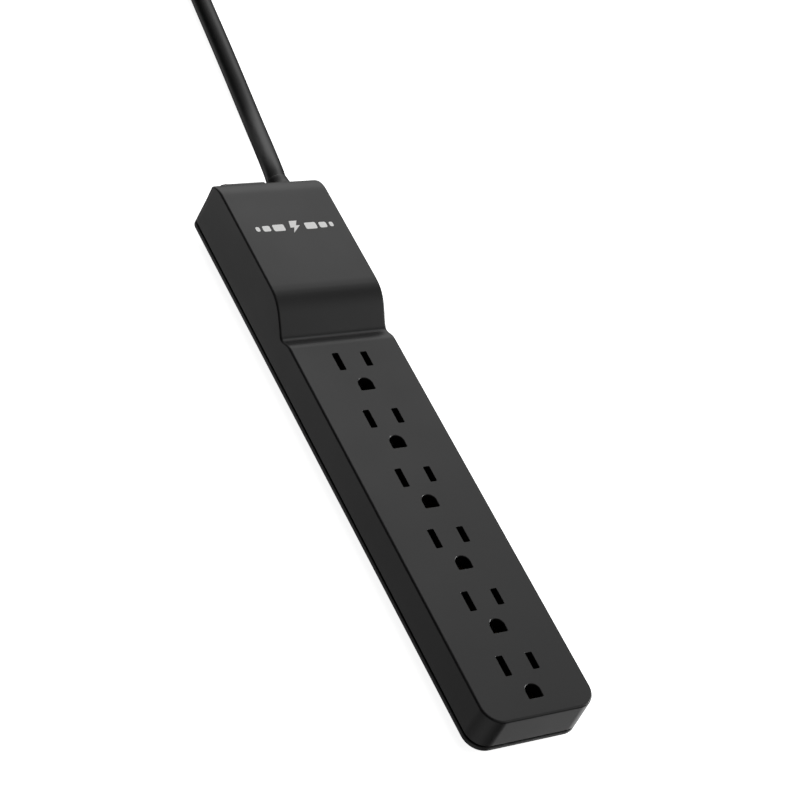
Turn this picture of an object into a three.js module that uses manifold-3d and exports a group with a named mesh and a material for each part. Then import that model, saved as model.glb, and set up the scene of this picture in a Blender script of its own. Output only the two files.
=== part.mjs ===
// Six-outlet surge protector power strip with a raised head, a switched circuit breaker and a mains cord.
// Millimetres, +Z up. The origin is on the middle line of the housing's flat underside, 2 mm from
// the middle of its length, +Y runs to the cord end,
// +X is the side of the live slots.
import * as THREE from 'three';
import { mergeVertices } from 'three/addons/utils/BufferGeometryUtils.js';
import Module from 'manifold-3d';

const wasm = await Module();
wasm.setup();

// ---------------------------------------------------------------- driving dimensions
const FACE_Z = 23.1;            // outlet face above the surface it stands on
const HEAD_RISE = 7.85;         // raised head above the outlet face
const HALF_WIDTH = 24.05;       // at the outlet face
const FRONT_Y = -125.9;         // front wall at the outlet face
const REAR_Y = 130.13;          // rear wall at the outlet face
const DRAFT = Math.tan(THREE.MathUtils.degToRad(1.54));
const FRONT_R = 8.0;            // plan corner radii
const REAR_R = 4.2;
const ROLL_Y = 10;              // the head's top rolls down into the rear wall, over this length
const ROLL_Z = 8.4;             // and this height
const WALL = 2.2;
const TOP_WALL = 2.4;

const LIP_Z = 6.0;              // lower edge of the visible lip
const LIP_TOP = 7.8;
const SHELL_Z = 8.7;            // lower edge of the top shell, 0.9 above the lip
const TONGUE_TOP = 12.0;
const FLOOR_T = 1.5;            // bottom wall
const PAN_INSET = 6.6;          // the pan's flat underside is this far inside the lip

const PITCH = 28.48;            // outlet to outlet
const FIRST_OUTLET_Y = 38.54;
const OUTLETS = 6;
const BLADE_SPACING = 12.7;     // NEMA 5-15
const GROUND_OFFSET = 11.9;
const SLOT_W = 2.7;
const NEUTRAL_SLOT_L = 8.6;
const LIVE_SLOT_L = 7.1;
const GROUND_R = 3.0;

const LABEL = [-3.5, 42];        // centre of the rating label on the underside
const SCREW_X = 14.5;
const SCREW_Y = [94, -9, -112];

const SWITCH_X = -6.5;
const SWITCH_Z = 16.6;
const PIVOT_Y = 127.2;          // rocker pivot
const SEESAW_Y = 120.6;         // moving contact pivot
const ROCKER_TILT = 9;          // degrees each side of level
const SEESAW_TILT = 7;

const CORD_D = 8.3;
const EXIT = [14.1, 138.2, 17.5];
const HANK_X = 6.6, HANK_Y0 = 306, HANK_Y1 = 366;   // centres of the hank's two ends
const TURN_OUT = 33.4, TURN_IN = 25.0;   // two lanes of turns, one layer on the other

const GAP = 0.3;
const BLACK = 0x0b0b0c;

// ---------------------------------------------------------------- helpers
const rad = THREE.MathUtils.degToRad;
const material = (color, roughness, metalness) => new THREE.MeshStandardMaterial({ color, roughness, metalness });

function volume(g) {
  const p = g.attributes.position, ix = g.index;
  const n = ix ? ix.count : p.count;
  const at = (i) => new THREE.Vector3().fromBufferAttribute(p, ix ? ix.getX(i) : i);
  let v = 0;
  for (let i = 0; i < n; i += 3) v += at(i).dot(at(i + 1).cross(at(i + 2)));
  return v / 6;
}

function clean(g, tol = 1e-4) {
  const c = g.clone();
  for (const name of Object.keys(c.attributes)) if (name !== 'position') c.deleteAttribute(name);
  const m = mergeVertices(c, tol);
  // drop triangles that merged to a line
  const ix = m.index.array, keep = [];
  for (let i = 0; i < ix.length; i += 3) {
    const [a, b, d] = [ix[i], ix[i + 1], ix[i + 2]];
    if (a !== b && b !== d && a !== d) keep.push(a, b, d);
  }
  m.setIndex(keep);
  if (volume(m) < 0) {
    for (let i = 0; i < keep.length; i += 3) [keep[i + 1], keep[i + 2]] = [keep[i + 2], keep[i + 1]];
    m.setIndex(keep);
  }
  return m;
}

function solid(g) {
  const m = clean(g);
  return new wasm.Manifold(new wasm.Mesh({
    numProp: 3,
    vertProperties: new Float32Array(m.attributes.position.array),
    triVerts: new Uint32Array(m.index.array),
  }));
}

function geometry(s) {
  const m = s.getMesh();
  const g = new THREE.BufferGeometry();
  g.setAttribute('position', new THREE.BufferAttribute(new Float32Array(m.vertProperties), 3));
  g.setIndex(new THREE.BufferAttribute(new Uint32Array(m.triVerts), 1));
  g.computeVertexNormals();
  return g;
}

const poly = (pts) => new THREE.Shape(pts.map(([a, b]) => new THREE.Vector2(a, b)));

// a flat shape extruded along Z
function alongZ(shape, z0, z1, seg = 12) {
  return new THREE.ExtrudeGeometry(shape, { depth: z1 - z0, bevelEnabled: false, curveSegments: seg }).translate(0, 0, z0);
}
// a shape drawn in (y, z), extruded along X
function alongX(shape, x0, x1, seg = 12) {
  const g = new THREE.ExtrudeGeometry(shape, { depth: x1 - x0, bevelEnabled: false, curveSegments: seg });
  const m = new THREE.Matrix4().makeBasis(new THREE.Vector3(0, 1, 0), new THREE.Vector3(0, 0, 1), new THREE.Vector3(1, 0, 0));
  return g.applyMatrix4(m).translate(x0, 0, 0);
}
// a shape drawn in (x, z), extruded along Y
function alongY(shape, y0, y1, seg = 12) {
  const g = new THREE.ExtrudeGeometry(shape, { depth: y1 - y0, bevelEnabled: false, curveSegments: seg });
  const m = new THREE.Matrix4().makeBasis(new THREE.Vector3(1, 0, 0), new THREE.Vector3(0, 0, 1), new THREE.Vector3(0, -1, 0));
  return g.applyMatrix4(m).translate(0, y1, 0);
}
const block = (x0, x1, y0, y1, z0, z1) =>
  new THREE.BoxGeometry(x1 - x0, y1 - y0, z1 - z0).translate((x0 + x1) / 2, (y0 + y1) / 2, (z0 + z1) / 2);

function rod(axis, r, a, b, [u, v], seg = 16) {
  const g = new THREE.CylinderGeometry(r, r, b - a, seg);
  if (axis === 'z') return g.rotateX(Math.PI / 2).translate(u, v, (a + b) / 2);
  if (axis === 'x') return g.rotateZ(Math.PI / 2).translate((a + b) / 2, u, v);
  return g.translate(u, (a + b) / 2, v);
}

// a turned piece: profile of (radius, distance along the axis)
function turned(axis, profile, [u, v], seg = 20) {
  const g = new THREE.LatheGeometry(profile.map(([r, h]) => new THREE.Vector2(r, h)), seg);
  if (axis === 'z') return g.rotateX(Math.PI / 2).translate(u, v, 0);
  return g.translate(u, 0, v);
}

function roundRect(w, h, r, cx = 0, cy = 0) {
  const s = new THREE.Shape(), x0 = cx - w / 2, x1 = cx + w / 2, y0 = cy - h / 2, y1 = cy + h / 2;
  s.moveTo(x0 + r, y0);
  s.lineTo(x1 - r, y0); s.absarc(x1 - r, y0 + r, r, -Math.PI / 2, 0, false);
  s.lineTo(x1, y1 - r); s.absarc(x1 - r, y1 - r, r, 0, Math.PI / 2, false);
  s.lineTo(x0 + r, y1); s.absarc(x0 + r, y1 - r, r, Math.PI / 2, Math.PI, false);
  s.lineTo(x0, y0 + r); s.absarc(x0 + r, y0 + r, r, Math.PI, 1.5 * Math.PI, false);
  return s;
}

// the housing's plan outline, counter-clockwise, `inset` inside its outer wall at height z
function planAt(z, inset, seg) {
  const grow = (FACE_Z - z) * DRAFT - inset;
  const hx = HALF_WIDTH + grow, y0 = FRONT_Y - grow, y1 = REAR_Y + grow;
  const rf = Math.max(FRONT_R - inset, 1.0), rr = Math.max(REAR_R - inset, 1.0);
  const out = [];
  for (const [sx, sy, r, a0] of [[1, -1, rf, -90], [1, 1, rr, 0], [-1, 1, rr, 90], [-1, -1, rf, 180]]) {
    for (let i = 0; i <= seg; i++) {
      const a = rad(a0 + 90 * i / seg);
      out.push([sx * (hx - r) + r * Math.cos(a), (sy < 0 ? y0 + r : y1 - r) + r * Math.sin(a)]);
    }
  }
  return out;
}

// the plan outline carried through levels of [height, inset], as one closed solid
function rings(levels, seg = 5) {
  const base = planAt(FACE_Z, 0, seg);
  const g = new THREE.ExtrudeGeometry(poly(base), { depth: levels.length - 1, steps: levels.length - 1, bevelEnabled: false });
  const p = g.attributes.position, cut = levels.map(([z, inset]) => planAt(z, inset, seg));
  for (let i = 0; i < p.count; i++) {
    const k = Math.round(p.getZ(i));
    let best = 0, far = Infinity;
    for (let j = 0; j < base.length; j++) {
      const d = (base[j][0] - p.getX(i)) ** 2 + (base[j][1] - p.getY(i)) ** 2;
      if (d < far) { far = d; best = j; }
    }
    p.setXYZ(i, cut[k][best][0], cut[k][best][1], levels[k][0]);
  }
  return g;
}

// a round cord or wire along points
function tube(points, d, sides, steps) {
  const curve = new THREE.CatmullRomCurve3(points.map((p) => new THREE.Vector3(...p)), false, 'centripetal');
  const s = new THREE.Shape(Array.from({ length: sides }, (_, i) => {
    const a = 2 * Math.PI * i / sides;
    return new THREE.Vector2(d / 2 * Math.cos(a), d / 2 * Math.sin(a));
  }));
  return new THREE.ExtrudeGeometry(s, { steps, bevelEnabled: false, extrudePath: curve });
}

const group = new THREE.Group();
group.name = 'power_strip';
function add(name, g, mat) {
  const mesh = new THREE.Mesh(g instanceof THREE.BufferGeometry ? clean(g, 1e-3) : geometry(g), mat);
  mesh.geometry.computeVertexNormals();
  mesh.name = name;
  group.add(mesh);
  return mesh;
}
const union = (list) => list.map((g) => (g instanceof THREE.BufferGeometry ? solid(g) : g)).reduce((a, b) => a.add(b));
const cut = (a, list) => list.reduce((s, g) => s.subtract(g instanceof THREE.BufferGeometry ? solid(g) : g), a);

const blackPlastic = material(BLACK, 0.42, 0);
const outletY = Array.from({ length: OUTLETS }, (_, k) => FIRST_OUTLET_Y - PITCH * k);

// ---------------------------------------------------------------- top shell
// side view of the outer top surface, from the front to the rear: the outlet face, the rise out of the
// valley, the slope and the head. (y from the first outlet, height above the outlet face)
const SIDE = [
  [8.6, 0], [9.5, -0.08], [10.5, -0.33], [11.5, -0.74], [12.5, -1.2], [13.4, -1.6], [14.2, -1.83],
  [14.9, -1.88], [15.5, -1.74], [16.15, -1.36], [16.9, -0.75], [21.3, 3.1], [22.6, 4.17], [23.7, 4.97],
  [24.8, 5.66], [26.1, 6.34], [27.6, 6.95], [29.3, 7.42], [31.3, 7.72], [34.0, HEAD_RISE],
].map(([y, z]) => [y + FIRST_OUTLET_Y, z + FACE_Z]);

function sideProfile(drop, wall, z0) {
  const roll = [], top = FACE_Z + HEAD_RISE, zc = top - ROLL_Z, yc = REAR_Y + (FACE_Z - zc) * DRAFT - ROLL_Y;
  for (let a = 90; a >= 0; a -= 10) roll.push([yc + (ROLL_Y - wall) * Math.sin(rad(a)), zc + (ROLL_Z - drop) * Math.cos(rad(a))]);
  return poly([[-140, z0], [140, z0], [140, zc], ...roll,
    ...SIDE.map(([y, z]) => [y, z - drop]).reverse(), [-140, FACE_Z - drop]]);
}

const REAR_AT = (z) => REAR_Y + (FACE_Z - z) * DRAFT;
{
  let s = solid(rings([[SHELL_Z, 0], [FACE_Z + HEAD_RISE + 2, 0]])).intersect(solid(alongX(sideProfile(0, 0, SHELL_Z - 1), -40, 40)));
  const inside = solid(rings([[SHELL_Z - 1, WALL], [FACE_Z + HEAD_RISE + 2, WALL]]))
    .intersect(solid(alongX(sideProfile(TOP_WALL, WALL, SHELL_Z - 2), -40, 40)));
  s = s.subtract(inside);
  // rabbet for the bottom cover's tongue
  s = s.subtract(solid(rings([[SHELL_Z - 1, 1.15], [TONGUE_TOP + GAP, 1.15]])));
  // screw bosses
  for (const y of SCREW_Y) for (const sx of [-1, 1]) {
    const top = y > 70 ? FACE_Z + HEAD_RISE - TOP_WALL + 0.5 : FACE_Z - TOP_WALL + 0.5;
    s = s.add(solid(rod('z', 3.2, 4.7, top, [sx * SCREW_X, y], 14)));
    s = s.subtract(solid(rod('z', 1.65, 4.0, 16.0, [sx * SCREW_X, y], 10)));
  }
  // outlet openings
  const holes = [];
  for (const y of outletY) {
    const z0 = FACE_Z - 4, z1 = FACE_Z + 1, h = BLADE_SPACING / 2;
    holes.push(block(-h - SLOT_W / 2, -h + SLOT_W / 2, y - NEUTRAL_SLOT_L / 2, y + NEUTRAL_SLOT_L / 2, z0, z1));
    holes.push(block(h - SLOT_W / 2, h + SLOT_W / 2, y - LIVE_SLOT_L / 2, y + LIVE_SLOT_L / 2, z0, z1));
    const a = new THREE.Shape();
    a.moveTo(-GROUND_R, -2.8); a.lineTo(GROUND_R, -2.8); a.lineTo(GROUND_R, 0);
    a.absarc(0, 0, GROUND_R, 0, Math.PI, false); a.lineTo(-GROUND_R, -2.8);
    holes.push(alongZ(a, z0, z1, 7).translate(0, y - GROUND_OFFSET, 0));
  }
  // rear wall: switch cut-out and cord hole
  holes.push(block(SWITCH_X - 9.8, SWITCH_X + 9.8, 118, 136, SWITCH_Z - 6.6, SWITCH_Z + 6.6));
  holes.push(rod('y', 5.7, 118, 136, [EXIT[0], EXIT[2]], 24));
  s = cut(s, holes);
  add('top_shell', s, blackPlastic);
}

// ---------------------------------------------------------------- bottom cover
{
  let s = solid(rings([[0, PAN_INSET], [5.6, 0.55], [LIP_Z, 0.15], [LIP_Z + 0.35, 0], [LIP_TOP, 0], [LIP_TOP, 1.5], [TONGUE_TOP, 1.5]]));
  s = s.subtract(solid(rings([[FLOOR_T, PAN_INSET + 0.5], [5.6, 2.7], [TONGUE_TOP + 1, 2.7]])));
  // raised pads under the screw bosses
  for (const y of SCREW_Y) for (const sx of [-1, 1]) {
    s = s.add(solid(rod('z', 4.2, 0.6, 4.4, [sx * SCREW_X, y], 20)));
  }
  // posts under the surge board
  for (const [x, y] of [[-16, 58], [16, 58], [-16, 84], [16, 84]]) s = s.add(solid(rod('z', 2.0, 1.0, 5.7, [x, y], 10)));
  const holes = [];
  for (const y of SCREW_Y) for (const sx of [-1, 1]) {
    holes.push(rod('z', 3.1, -1, 2.6, [sx * SCREW_X, y], 20), rod('z', 1.75, 1, 6, [sx * SCREW_X, y], 12));
  }
  // keyhole slots for two wall screws, outside the contact carrier
  for (const y of [-60, 40]) {
    holes.push(rod('z', 3.7, -1, 3, [14.0, y], 20), block(14.0 - 2.1, 14.0 + 2.1, y, y + 8, -1, 3), rod('z', 2.1, -1, 3, [14.0, y + 8], 14));
  }
  // shallow recess for the rating label
  holes.push(alongZ(roundRect(21, 61, 1.5, LABEL[0], LABEL[1]), -1, 0.5, 4));
  // notches in the rear tongue, under the switch and the strain relief
  holes.push(block(SWITCH_X - 11, SWITCH_X + 11, 118, 130, SWITCH_Z - 6.3 - 0.6, 14));
  holes.push(block(EXIT[0] - 7.4, EXIT[0] + 7.4, 118, 130, EXIT[2] - 6.9 - 0.5, 14));
  s = cut(s, holes);
  add('bottom_cover', s, material(BLACK, 0.5, 0));
}
add('rating_label', alongZ(roundRect(20, 60, 1.2, ...LABEL), 0.08, 0.2, 3), material(0xb9bcc0, 0.55, 0.1));

// ---------------------------------------------------------------- housing screws
{
  let n = 1;
  for (const y of SCREW_Y) for (const sx of [-1, 1]) {
    let s = solid(turned('z', [[0, -15.2], [0.6, -15.2], [1.35, -13.4], [1.35, -2.3], [2.75, -2.3], [2.75, -1.1], [2.2, -0.5], [0, -0.5]]
      .map(([r, h]) => [r, -h]), [sx * SCREW_X, y], 10));
    s = s.subtract(solid(block(sx * SCREW_X - 2.0, sx * SCREW_X + 2.0, y - 0.4, y + 0.4, -1, 1.3)))
      .subtract(solid(block(sx * SCREW_X - 0.4, sx * SCREW_X + 0.4, y - 2.0, y + 2.0, -1, 1.3)));
    add(`housing_screw_${n++}`, s, material(0x8b8d90, 0.35, 1));
  }
}

// ---------------------------------------------------------------- contacts
const CARRIER_Y0 = -118.9, CARRIER_Y1 = 47.0;
{
  let s = solid(block(-10, 10, CARRIER_Y0, CARRIER_Y1, 1.9, 3.4));
  for (const x of [-10, -4.5, 3.7, 9.2]) s = s.add(solid(block(x, x + 0.8, CARRIER_Y0, CARRIER_Y1, 3.0, 15)));
  const holes = outletY.map((y) => rod('z', 2.7, 1, 5, [0, y - GROUND_OFFSET], 14));
  s = cut(s, holes);
  add('contact_carrier', s, material(0xd9d4c6, 0.6, 0));
}

// two sprung leaves with flared lips on a flat strip, drawn in (x, z)
function leaves(x, half, t, z0, z1, flare) {
  const l = (sgn) => poly([[x + sgn * half, z0], [x + sgn * (half + t), z0], [x + sgn * (half + t), z1 - 2.2],
    [x + sgn * (half + t + flare), z1], [x + sgn * (half + flare), z1], [x + sgn * half, z1 - 2.2]]);
  return [l(-1), l(1)];
}
const brass = material(0xb08d4a, 0.32, 1);
for (const [name, sx] of [['neutral_bus', -1], ['live_bus', 1]]) {
  const h = sx * BLADE_SPACING / 2;
  const x0 = Math.min(sx * 4.8, sx * 8.9), x1 = Math.max(sx * 4.8, sx * 8.9);
  let s = solid(block(x0, x1, -109, 50, 3.7, 4.5));
  for (const y of outletY) for (const l of leaves(h, 0.65, 0.6, 4.2, 18.3, 0.7)) s = s.add(solid(alongY(l, y - 3.2, y + 3.2)));
  add(name, s, brass);
}
{
  let s = solid(block(-3.4, 3.4, -118.5, 50, 3.7, 4.5));
  for (const y of outletY) {
    for (const l of leaves(0, 2.5, 0.6, 4.2, 17.5, 0.5)) s = s.add(solid(alongY(l, y - GROUND_OFFSET - 2.3, y - GROUND_OFFSET + 2.3)));
    s = s.subtract(solid(rod('z', 2.45, 3, 4.9, [0, y - GROUND_OFFSET], 14)));
  }
  add('ground_bus', s, brass);
}

// ---------------------------------------------------------------- surge board
{
  let s = solid(block(-19.5, 19.5, 54, 88.5, 6.0, 7.6));
  for (const [x, y] of [[-6.85, 60], [0, 60], [6.85, 60]]) s = s.add(solid(rod('z', 0.5, 5.2, 6.4, [x, y], 8)));
  add('surge_board', s, material(0x2f6b3a, 0.5, 0));
}
{
  // disc varistors on two leads
  const xs = [-13.6, 0, 13.6];
  xs.forEach((x, i) => {
    let s = solid(turned('y', [[0, -2.2], [5.4, -2.2], [6.3, -1.3], [6.3, 1.3], [5.4, 2.2], [0, 2.2]].map(([r, h]) => [r, h + 77]), [x, 15.4], 14));
    for (const dx of [-3.7, 3.7]) s = s.add(solid(block(x + dx - 0.4, x + dx + 0.4, 76.6, 77.4, 7.9, 12.5)));
    add(`varistor_${i + 1}`, s, material(0x2b5fa8, 0.35, 0));
  });
}
{
  let s = solid(alongX(roundRect(4, 4, 1.2, 70, 11.4), -5.5, 5.5, 4));
  for (const sx of [-1, 1]) {
    s = s.add(solid(block(Math.min(sx * 5.2, sx * 7.4), Math.max(sx * 5.2, sx * 7.4), 69.6, 70.4, 11.0, 11.8)));
    s = s.add(solid(block(Math.min(sx * 6.6, sx * 7.4), Math.max(sx * 6.6, sx * 7.4), 69.6, 70.4, 7.9, 11.6)));
  }
  add('thermal_fuse', s, material(0xd7d2c8, 0.5, 0));
}
add('film_capacitor', alongX(roundRect(7.4, 12, 0.8, 62.4, 13.9), -9, 9, 3), material(0xc8a22a, 0.45, 0));

// ---------------------------------------------------------------- switch with its circuit breaker
{
  const [x, z] = [SWITCH_X, SWITCH_Z];
  let s = solid(block(x - 9.5, x + 9.5, 111.9, 131.4, z - 6.3, z + 6.3));
  s = s.add(solid(alongY(roundRect(21.2, 15.2, 1.6, x, z), 130.8, 132.4, 5)));
  // snap wings behind the wall
  for (const sx of [-1, 1]) {
    s = s.add(solid(alongZ(poly([[x + sx * 9.3, 120.4], [x + sx * 10.6, 127.0], [x + sx * 9.3, 127.0]]), z - 2.5, z + 2.5)));
  }
  const holes = [block(x - 8.5, x + 8.5, 113.4, 136, z - 5.3, z + 5.3)];
  for (const dx of [-6, 0, 6]) holes.push(block(x + dx - 0.8, x + dx + 0.8, 109, 115, z - 2.9, z + 2.9));
  holes.push(rod('z', 1.35, z - 8, z + 8, [x, PIVOT_Y], 14));
  s = cut(s, holes);
  add('switch_body', s, material(0x101011, 0.45, 0));

  // rocker, level outline about its pivot in (x, y); it is mounted tilted to its first stop
  const v0 = 5.2, rise = Math.tan(rad(ROCKER_TILT));
  const out = poly([[-7.4, v0 + 7.4 * rise], [-6.2, v0 + 6.2 * rise + 0.02], [0, v0], [6.2, v0 + 6.2 * rise + 0.02], [7.4, v0 + 7.4 * rise],
    [7.85, 2.0], [7.85, 0.9], [2.9, -0.9], [2.5, -3.0], [-2.5, -3.0], [-2.9, -0.9], [-7.85, 0.9], [-7.85, 2.0]]);
  let r = solid(alongZ(out, -5.0, 5.0));
  r = r.add(solid(rod('z', 1.0, -6.2, 6.2, [0, 0], 12)));
  r = r.subtract(solid(rod('y', 1.5, -8, 2.8, [0, 0], 14)));
  const rocker = add('rocker', r, material(0x7a1410, 0.3, 0));
  const spring = add('rocker_spring', turned('y', [[0.75, -1.4], [1.2, -1.4], [1.2, 2.4], [0.75, 2.4], [0.75, -1.4]], [0, 0], 12), material(0xa9abad, 0.3, 1));
  const plunger = add('rocker_plunger', turned('y', [[0, -5.9], [0.6, -5.7], [1.1, -5.0], [1.1, -1.75], [0, -1.75]], [0, 0], 12), material(0xe4e0d4, 0.45, 0));
  for (const m of [rocker, spring, plunger]) {
    m.position.set(x, PIVOT_Y, z);
    m.rotation.z = rad(-ROCKER_TILT);
  }
  // moving contact: a shallow vee of strip that rocks on the middle terminal
  const vee = poly([[-5.6, 1.1], [-5.6, 0.4], [0, -0.35], [5.6, 0.4], [5.6, 1.1], [0, 0.35]]);
  const seesaw = add('moving_contact', alongZ(vee, -2.0, 2.0), material(0xb4693c, 0.3, 1));
  seesaw.position.set(x, SEESAW_Y, z);
  seesaw.rotation.z = rad(SEESAW_TILT);

  const tin = material(0xc9c7bf, 0.35, 1);
  add('line_terminal', block(x - 0.4, x + 0.4, 98.8, SEESAW_Y - 0.75, z - 2.5, z + 2.5), tin);
  const padY = SEESAW_Y - 0.6;    // just under the closed contact
  add('load_terminal', union([block(x + 5.6, x + 6.4, 98.8, padY, z - 2.5, z + 2.5), block(x + 4.0, x + 6.4, padY - 0.8, padY, z - 2.0, z + 2.0)]), tin);
  add('lamp_terminal', block(x - 6.4, x - 5.6, 98.8, 114.8, z - 2.5, z + 2.5), tin);
  add('rocker_lamp', turned('y', [[0, 114.6], [1.3, 114.6], [1.3, 119.0], [0.7, 120.0], [0, 120.3]], [x - 5.5, z - 3.8], 12), material(0xe0662a, 0.15, 0));
}

// ---------------------------------------------------------------- strain relief
add('strain_relief', turned('y', [[0, 110.2], [4.9, 110.2], [5.1, 110.8], [5.1, 125.0], [6.9, 125.0], [6.9, 127.4], [5.4, 127.4],
  [5.4, 130.8], [6.5, 130.8], [6.5, 131.6], [5.7, 132.6], [4.75, 137.5], [4.4, 137.9], [0, 137.9]], [EXIT[0], EXIT[2]], 18), material(0x0d0d0e, 0.55, 0));

// ---------------------------------------------------------------- wires inside the housing
const [ex, , ez] = EXIT;
add('live_wire', tube([[ex, 109.6, ez + 2.3], [ex - 0.1, 107.5, 19.9], [ex - 0.9, 104.5, 20.5], [10.5, 99.5, 21.6], [3, 93.6, 22], [-3.5, 91.6, 20.2], [-6.6, 93.4, 17.6], [-6.5, 98.5, 16.8]], 2.6, 8, 15), material(0x1c1c1c, 0.5, 0));
add('switched_wire', tube([[-0.5, 98.5, 16.8], [-0.4, 96, 16.2], [1.0, 94.2, 13.6], [4.2, 93.4, 9.2], [6.5, 91.9, 5.9], [6.85, 87.5, 3.75], [6.85, 80, 3.6], [6.85, 65, 3.6], [6.85, 50.3, 3.6]], 2.6, 8, 19), material(0x1c1c1c, 0.5, 0));
add('neutral_wire', tube([[ex - 2.1, 109.6, ez - 1.3], [ex - 2.2, 107.5, 16.0], [ex - 3.2, 105, 13.6], [8.5, 102.5, 9.5], [3, 100.5, 5.4], [-3, 98.5, 3.8], [-6.4, 94.5, 3.6], [-6.85, 90, 3.6], [-6.85, 70, 3.6], [-6.85, 50.3, 3.6]], 2.6, 8, 19), material(0xe6e6e2, 0.5, 0));
add('ground_wire', tube([[ex + 2.1, 109.6, ez - 1.3], [ex + 2.0, 107.5, 15.9], [ex + 1.2, 105, 13.0], [13.2, 102, 8.9], [9.2, 98.6, 5.2], [4.2, 96.3, 3.7], [0.9, 93.3, 3.6], [0, 88.5, 3.6], [0, 70, 3.6], [0, 50.3, 3.6]], 2.6, 8, 19), material(0x2e7d3a, 0.5, 0));

// ---------------------------------------------------------------- mains cord
// centre line of the run from the strain relief to the hank; it lies on the surface from y = 198 on
const RUN = [
  [14.1, 138.3, 17.5], [14.5, 142.5, 17.35], [16.3, 149.5, 16.0], [19.5, 157.5, 13.3], [22.8, 165.8, 10.3],
  [26.0, 175.5, 7.2], [28.6, 186.5, 5.0], [30.6, 198.5, 4.2], [32.3, 212.0, 4.15], [34.3, 232.0, 4.15],
  [36.2, 252.0, 4.15], [37.8, 268.0, 4.15], [39.1, 282.0, 4.15], [39.85, 295.0, 4.15], [40.0, 306.0, 4.15],
];
const RING_IN = TURN_IN - 4.4, RING_OUT = TURN_OUT + 4.4, RING_Z = 0.9, RING_TOP = 16.8, RING_EDGE = 1.6;
const roundEnded = (r, path) => {
  path.absarc(HANK_X, HANK_Y1, r, 0, Math.PI, false);
  path.absarc(HANK_X, HANK_Y0, r, Math.PI, 2 * Math.PI, false);
  path.closePath();
  return path;
};
const rubber = material(0x0c0c0d, 0.55, 0);
{
  const past = alongZ(roundEnded(RING_OUT + GAP, new THREE.Shape()), -1, 20, 20);
  add('cord_run', solid(tube(RUN, CORD_D, 10, 20)).subtract(solid(past)), rubber);
}
{
  // the folded turns, as one ring with round ends
  const outline = roundEnded(RING_OUT, new THREE.Shape());
  outline.holes.push(roundEnded(RING_IN, new THREE.Path()));
  add('cord_hank', new THREE.ExtrudeGeometry(outline, { depth: RING_TOP - RING_Z - 2 * RING_EDGE, bevelEnabled: true, bevelThickness: RING_EDGE,
    bevelSize: RING_EDGE, bevelOffset: -RING_EDGE, bevelSegments: 1, curveSegments: 20 }).translate(0, 0, RING_Z + RING_EDGE), rubber);
}

// twist tie round the turns, in the middle of the hank's right side, its ends twisted together inside the loop
{
  const w = 4, x0 = RING_IN - 0.35, x1 = RING_OUT + 0.35, t = 0.55;
  const hoop = (g, z0, z1, c) => poly([[x0 - g + c, z0], [x1 + g - c, z0], [x1 + g, z0 + c], [x1 + g, z1 - c], [x1 + g - c, z1], [x0 - g + c, z1], [x0 - g, z1 - c], [x0 - g, z0 + c]]);
  let s = solid(alongY(hoop(t, 0.02, 17.65, 1.4), -w / 2, w / 2)).subtract(solid(alongY(hoop(0, 0.57, 17.1, 1.1), -w, w)));
  s = s.add(solid(block(x0 - 6.5, x0 - 0.3, -1.4, 1.4, 6.6, 7.8)));
  const m = add('cord_tie', s, material(0x141414, 0.5, 0));
  m.position.set(HANK_X, (HANK_Y0 + HANK_Y1) / 2, 0);
}

// tail and plug, drawn along +Y from where the last turn leaves the hank, and turned about the centre of its far end
const TAIL_TURN = 15, PLUG_Y = 30, PLUG_Z = 13.0, BLADE_Z = PLUG_Z - 5.4, PIN_Z = PLUG_Z + 6.5;
{
  const onHank = (name, g, mat) => {
    const m = add(name, g, mat);
    m.position.set(HANK_X, HANK_Y1, 0);
    m.rotation.z = rad(TAIL_TURN);
  };
  onHank('cord_tail', tube([[TURN_OUT, 24.7, 12.75], [TURN_OUT, 27.2, 12.9], [TURN_OUT, PLUG_Y - GAP, PLUG_Z]], CORD_D, 10, 3), rubber);
  onHank('plug_relief', turned('y', [[0, PLUG_Y], [4.9, PLUG_Y], [5.2, PLUG_Y + 0.8], [7.2, PLUG_Y + 20.7], [0, PLUG_Y + 20.7]], [TURN_OUT, PLUG_Z], 16), material(0x0d0d0e, 0.55, 0));
  const y0 = PLUG_Y + 21, y1 = y0 + 37;
  const body = new THREE.ExtrudeGeometry(roundRect(31, 25.8, 5, 0, 0), { depth: 5, steps: 5, bevelEnabled: false, curveSegments: 5 });
  const at = [[0, 0.62], [5, 0.7], [12, 0.82], [24, 0.95], [29, 1.0], [37, 1.0]];
  const p = body.attributes.position;
  for (let i = 0; i < p.count; i++) {
    const [d, k] = at[Math.round(p.getZ(i))];
    p.setXYZ(i, p.getX(i) * k, y0 + d, p.getY(i) * k);
  }
  body.translate(TURN_OUT, 0, PLUG_Z);
  onHank('plug_body', body, material(0x0d0d0e, 0.5, 0));
  const bright = material(0xc8c2b2, 0.25, 1);
  const blade = (cx) => {
    const b = poly([[cx - 0.75, y1 + GAP], [cx + 0.75, y1 + GAP], [cx + 0.75, y1 + 17.0], [cx + 0.35, y1 + 17.9], [cx - 0.35, y1 + 17.9], [cx - 0.75, y1 + 17.0]]);
    return alongZ(b, BLADE_Z - 3.2, BLADE_Z + 3.2);
  };
  onHank('neutral_blade', blade(TURN_OUT - BLADE_SPACING / 2), bright);
  onHank('live_blade', blade(TURN_OUT + BLADE_SPACING / 2), bright);
  onHank('ground_pin', turned('y', [[0, y1 + GAP], [2.38, y1 + GAP], [2.38, y1 + 18.8], [1.6, y1 + 20.7], [0, y1 + 21.2]], [TURN_OUT, PIN_Z], 14), bright);
}

export default group;
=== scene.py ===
# A six-outlet surge protector power strip: its looks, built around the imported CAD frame.
import math
import bpy
import bmesh
import numpy as np
from mathutils import Matrix, Vector


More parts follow.
